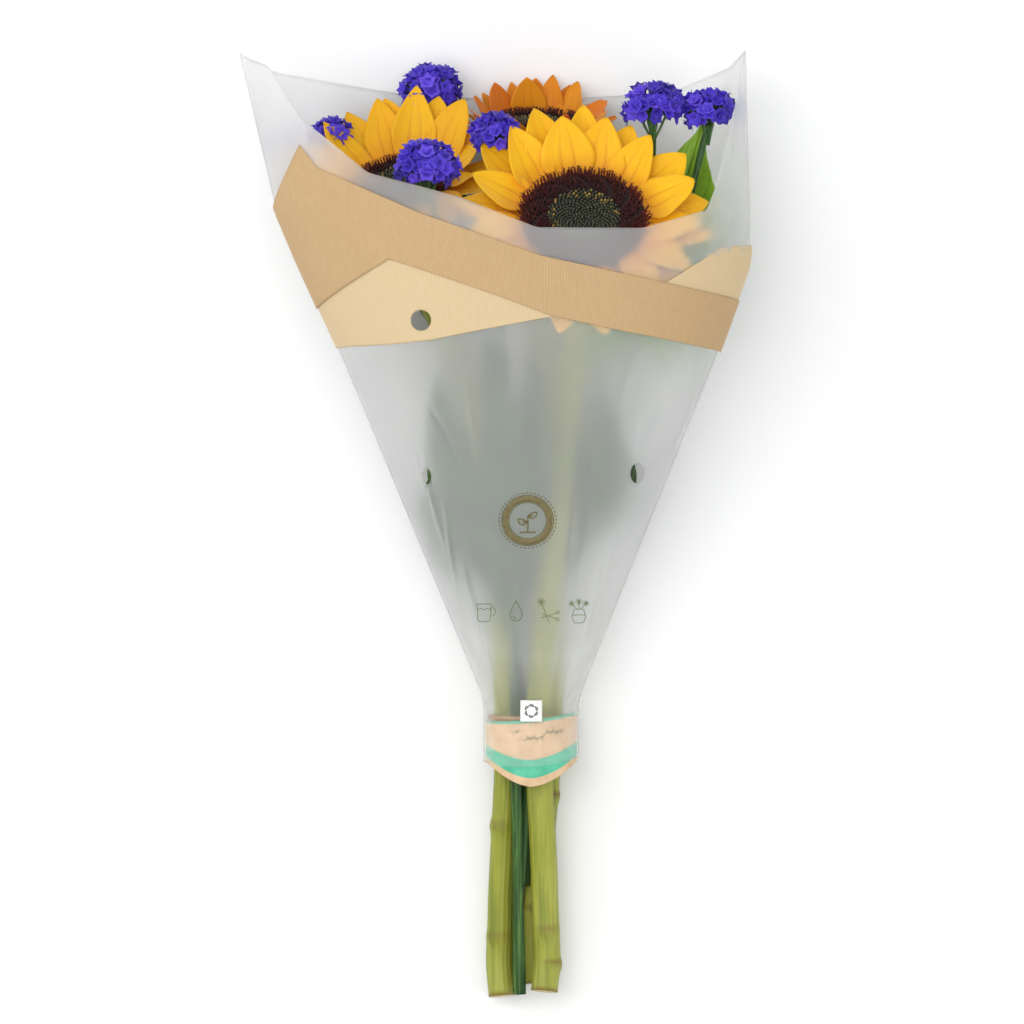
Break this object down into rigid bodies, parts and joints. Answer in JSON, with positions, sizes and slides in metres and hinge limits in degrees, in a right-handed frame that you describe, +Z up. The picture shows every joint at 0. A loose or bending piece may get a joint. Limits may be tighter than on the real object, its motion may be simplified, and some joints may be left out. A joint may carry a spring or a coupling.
{
  "type": "bunch of sunflowers",
  "caption": "Bunch of sunflowers with violet statice in a translucent film sleeve with paper strips, tied at the stems and lying on its back.",
  "frame": {"origin": "under the middle of the bunch, on the surface it lies on", "axes": "+Y from the cut stem ends towards the flower heads, +Z up from the surface, +X to the right looking down with the heads away"},
  "size_m": [0.282, 0.5238, 0.1534],
  "materials": {
    "film": "satin",
    "strip_paper_light": "matte",
    "strip_paper_dark": "matte",
    "label_paper": "matte",
    "sachet_paper": "satin",
    "elastic": "matte",
    "petal": "satin",
    "florets": "matte",
    "disc_centre": "matte",
    "green_calyx": "matte",
    "sunflower_stem": "matte",
    "leaf": "satin",
    "statice_stem": "matte",
    "statice_floret": "matte"
  },
  "bodies": {
    "root": {"sleeve_front_panel": "film", "sleeve_back_panel": "film", "paper_strip_under": "strip_paper_light", "paper_strip_over": "strip_paper_dark", "square_label": "label_paper", "flower_food_sachet": "sachet_paper", "elastic_band": "elastic", "sunflower_1_calyx": "green_calyx", "sunflower_1_outer_petals": "petal", "sunflower_1_inner_petals": "petal", "sunflower_1_floret_ring": "florets", "sunflower_1_disc_centre": "disc_centre", "sunflower_1_stem": "sunflower_stem", "sunflower_2_calyx": "green_calyx", "sunflower_2_outer_petals": "petal", "sunflower_2_inner_petals": "petal", "sunflower_2_floret_ring": "florets", "sunflower_2_disc_centre": "disc_centre", "sunflower_2_stem": "sunflower_stem", "sunflower_3_calyx": "green_calyx", "sunflower_3_outer_petals": "petal", "sunflower_3_inner_petals": "petal", "sunflower_3_floret_ring": "florets", "sunflower_3_disc_centre": "disc_centre", "sunflower_3_stem": "sunflower_stem", "sunflower_1_leaf": "leaf", "sunflower_2_leaf": "leaf", "sunflower_3_leaf": "leaf", "upper_leaf": "leaf", "statice_1_stem": "statice_stem", "statice_1_cluster_a": "statice_floret", "statice_1_cluster_b": "statice_floret", "statice_2_stem": "statice_stem", "statice_2_cluster_a": "statice_floret", "statice_2_cluster_b": "statice_floret", "statice_3_stem": "statice_stem", "statice_3_cluster_a": "statice_floret", "statice_3_cluster_b": "statice_floret"}
  },
  "joints": []
}
